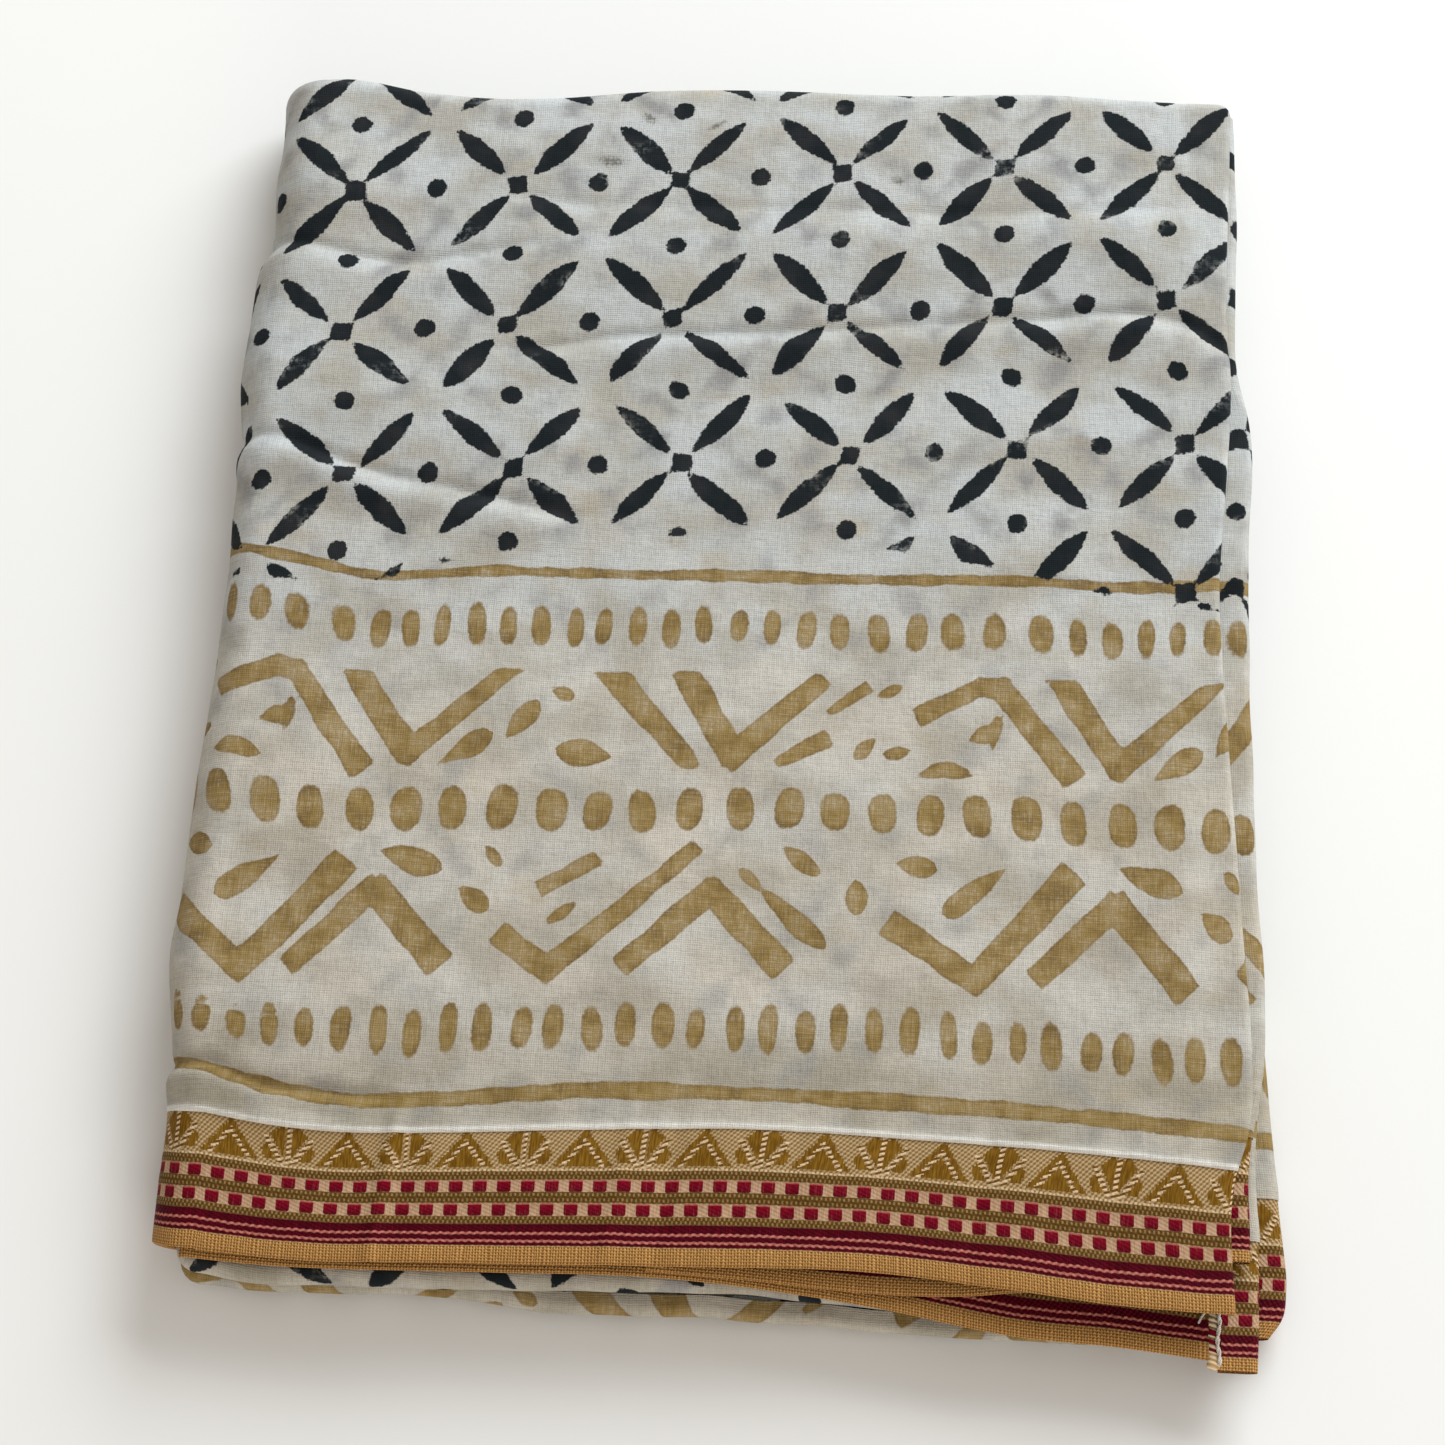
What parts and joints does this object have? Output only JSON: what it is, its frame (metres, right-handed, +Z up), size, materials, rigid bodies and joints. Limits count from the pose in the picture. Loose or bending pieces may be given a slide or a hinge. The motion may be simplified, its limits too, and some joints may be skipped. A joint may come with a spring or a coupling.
{
  "type": "sarong",
  "caption": "Block-printed cotton sarong with woven ribbon borders, folded into a flat rectangular stack and lying on its underside.",
  "frame": {"origin": "on the surface under the middle of the folded stack", "axes": "+Z up through the stack, +X to the right along the ribbon borders, +Y away from the near edge, where the ribbons lie"},
  "size_m": [0.2405, 0.2978, 0.0221],
  "materials": {
    "printed_cotton": "light plain-weave cotton with black and gold-ochre block print, matte",
    "plain_cotton": "light plain-weave cotton, unbleached off-white, matte",
    "woven_ribbon": "woven jacquard ribbon in beige, olive gold, crimson and orange, slight rayon sheen",
    "rolled_hem": "narrow rolled cotton hem whipped with white thread, matte"
  },
  "bodies": {
    "root": {"outer_panel": "printed_cotton", "outer_border": "woven_ribbon", "second_border": "woven_ribbon", "middle_border": "woven_ribbon", "second_fold": "plain_cotton", "second_fold_border": "woven_ribbon", "corner_fold": "plain_cotton", "corner_border": "woven_ribbon", "end_hem": "rolled_hem", "side_fold": "plain_cotton", "side_border": "woven_ribbon", "upper_near_fold": "printed_cotton", "lower_near_fold": "printed_cotton", "hidden_layers": "plain_cotton"}
  },
  "joints": []
}
